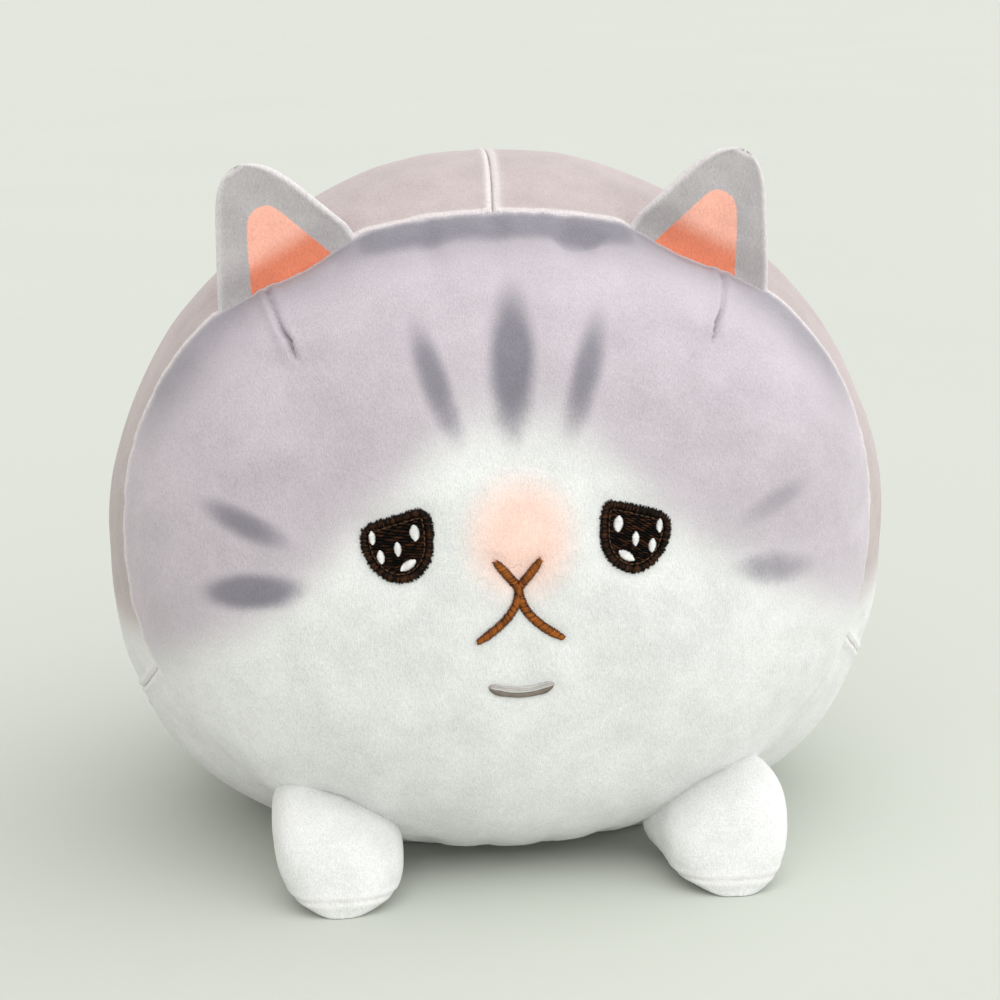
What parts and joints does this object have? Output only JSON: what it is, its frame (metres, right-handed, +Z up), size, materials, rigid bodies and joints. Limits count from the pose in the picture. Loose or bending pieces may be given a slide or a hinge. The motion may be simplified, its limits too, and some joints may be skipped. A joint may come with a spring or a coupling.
{
  "type": "plush cat",
  "caption": "Loaf-shaped stuffed cat with a domed embroidered face, folding ears, soft bending paws and a curled tail; it rests on its belly.",
  "frame": {"origin": "middle of the bounding box, on the surface that the belly and the paws rest on", "axes": "+X to the right as seen from the front, +Y from the face to the tail, +Z up"},
  "size_m": [0.2668, 0.307, 0.2344],
  "materials": {
    "grey_plush": "short velvety pile",
    "white_plush": "short velvety pile",
    "pink_plush": "short velvety pile",
    "fibre_fill": "loose polyester fibre",
    "seam_thread": "matte thread",
    "backing_sheet": "non-woven sheet",
    "brown_thread": "satin embroidery thread",
    "white_embroidery": "satin embroidery thread",
    "rust_thread": "satin embroidery thread",
    "taupe_thread": "satin embroidery thread"
  },
  "bodies": {
    "torso": {"face_panel": "grey_plush", "upper_left_panel": "grey_plush", "upper_right_panel": "grey_plush", "belly_panel": "white_plush", "rump_panel": "grey_plush", "body_stuffing": "fibre_fill", "face_seam_thread": "seam_thread", "rump_seam_thread": "seam_thread", "back_seam_thread": "seam_thread", "closing_stitches": "seam_thread", "dart_stitches": "seam_thread", "embroidery_backing": "backing_sheet", "left_eye_fill": "brown_thread", "right_eye_fill": "brown_thread", "left_eye_border": "brown_thread", "right_eye_border": "brown_thread", "left_eye_highlights": "white_embroidery", "right_eye_highlights": "white_embroidery", "nose_stitch_falling": "rust_thread", "nose_stitch_rising": "rust_thread", "mouth_stitch": "taupe_thread"},
    "left_ear": {"left_ear_front": "pink_plush", "left_ear_back": "grey_plush", "left_ear_interlining": "fibre_fill"},
    "right_ear": {"right_ear_front": "pink_plush", "right_ear_back": "grey_plush", "right_ear_interlining": "fibre_fill"},
    "front_left_paw": {"front_left_paw_cover": "white_plush", "front_left_paw_sole": "white_plush", "front_left_paw_stuffing": "fibre_fill"},
    "front_right_paw": {"front_right_paw_cover": "white_plush", "front_right_paw_sole": "white_plush", "front_right_paw_stuffing": "fibre_fill"},
    "rear_left_paw": {"rear_left_paw_cover": "white_plush", "rear_left_paw_sole": "white_plush", "rear_left_paw_stuffing": "fibre_fill"},
    "rear_right_paw": {"rear_right_paw_cover": "white_plush", "rear_right_paw_sole": "white_plush", "rear_right_paw_stuffing": "fibre_fill"},
    "tail": {"tail_cover": "grey_plush", "tail_stuffing": "fibre_fill"}
  },
  "joints": [
    {"name": "left_ear_fold", "type": "hinge", "parent": "torso", "child": "left_ear", "pos_m": [-0.07034, -0.08201, 0.20242], "axis": [0.878, 0, 0.4787], "range_deg": [-25, 45], "stiffness_Nm_per_rad": 0.03},
    {"name": "right_ear_fold", "type": "hinge", "parent": "torso", "child": "right_ear", "pos_m": [0.07034, -0.08201, 0.20242], "axis": [0.878, 0, -0.4787], "range_deg": [-25, 45], "stiffness_Nm_per_rad": 0.03},
    {"name": "front_left_paw_bend", "type": "hinge", "parent": "torso", "child": "front_left_paw", "pos_m": [-0.06, -0.10001, 0.006], "axis": [1, 0, 0], "range_deg": [-6, 25], "stiffness_Nm_per_rad": 0.06},
    {"name": "front_right_paw_bend", "type": "hinge", "parent": "torso", "child": "front_right_paw", "pos_m": [0.06, -0.10001, 0.006], "axis": [1, 0, 0], "range_deg": [-6, 25], "stiffness_Nm_per_rad": 0.06},
    {"name": "rear_left_paw_bend", "type": "hinge", "parent": "torso", "child": "rear_left_paw", "pos_m": [-0.054, 0.06799, 0.006], "axis": [-1, 0, 0], "range_deg": [-10, 25], "stiffness_Nm_per_rad": 0.06},
    {"name": "rear_right_paw_bend", "type": "hinge", "parent": "torso", "child": "rear_right_paw", "pos_m": [0.054, 0.06799, 0.006], "axis": [-1, 0, 0], "range_deg": [-10, 25], "stiffness_Nm_per_rad": 0.06},
    {"name": "tail_wag", "type": "hinge", "parent": "torso", "child": "tail", "pos_m": [0, 0.11199, 0.084], "axis": [0, 0, 1], "range_deg": [-35, 35], "stiffness_Nm_per_rad": 0.03}
  ]
}
